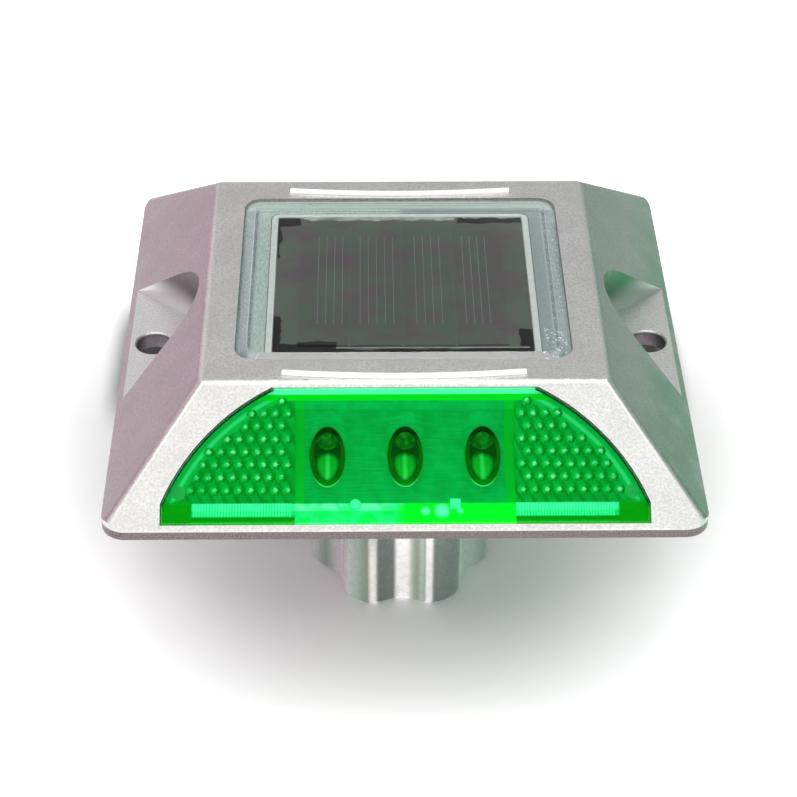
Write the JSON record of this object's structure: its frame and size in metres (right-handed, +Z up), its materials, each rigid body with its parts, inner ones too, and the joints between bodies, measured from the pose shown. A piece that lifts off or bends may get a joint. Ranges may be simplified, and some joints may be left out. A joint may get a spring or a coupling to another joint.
{
  "type": "raised pavement marker",
  "caption": "Solar LED road stud: low cast-aluminium frustum head with green lenses on both faces, a window over a solar panel, side fixing scallops and a hollow fluted anchor stem.",
  "frame": {"origin": "middle of the head's underside, which lies at road level, on the stem's axis", "axes": "+Z up from the road, -Y towards the front lens, X across the lane through the two fixing holes; the stem points down -Z"},
  "size_m": [0.118, 0.122, 0.0766],
  "materials": {
    "cast_head": "satin, bead-blasted die casting",
    "anchor_metal": "polished casting",
    "gasket_rubber": "matte",
    "screw_steel": "plated steel",
    "clear_window": "polished clear polycarbonate",
    "window_silicone": "pale translucent silicone",
    "panel_laminate": "glossy black epoxy laminate",
    "silicon_cells": "dark silicon under clear epoxy",
    "tray_plastic": "satin moulding",
    "circuit_board": "solder mask",
    "component_black": "moulded epoxy",
    "ferrite_copper": "ferrite with a copper winding",
    "capacitor_can": "plain can",
    "wire_red": "insulated wire",
    "battery_wrap": "shrink wrap",
    "sleeve_foam": "closed-cell foam",
    "nickel": "nickel strip",
    "green_lens": "polished green polycarbonate",
    "lens_silicone": "dark silicone bead",
    "led_epoxy": "clear green-tinted epoxy"
  },
  "bodies": {
    "root": {"housing": "cast_head", "anchor_base": "anchor_metal", "base_gasket": "gasket_rubber", "base_screws": "screw_steel", "top_window": "clear_window", "window_seal": "window_silicone", "solar_panel_board": "panel_laminate", "solar_cells": "silicon_cells", "carrier_tray": "tray_plastic", "carrier_screws": "screw_steel", "main_board": "circuit_board", "board_screws": "screw_steel", "control_chip": "component_black", "power_inductor": "ferrite_copper", "storage_capacitors": "capacitor_can", "driver_transistors": "component_black", "blocking_diode": "component_black", "panel_leads": "wire_red", "battery_cell": "battery_wrap", "battery_sleeve": "sleeve_foam", "battery_tabs": "nickel", "battery_leads": "wire_red", "front_lens": "green_lens", "front_lens_seal": "lens_silicone", "front_led_board": "circuit_board", "front_led_leads": "wire_red", "front_left_led": "led_epoxy", "front_centre_led": "led_epoxy", "front_right_led": "led_epoxy", "rear_lens": "green_lens", "rear_lens_seal": "lens_silicone", "rear_led_board": "circuit_board", "rear_led_leads": "wire_red", "rear_left_led": "led_epoxy", "rear_centre_led": "led_epoxy", "rear_right_led": "led_epoxy"}
  },
  "joints": []
}
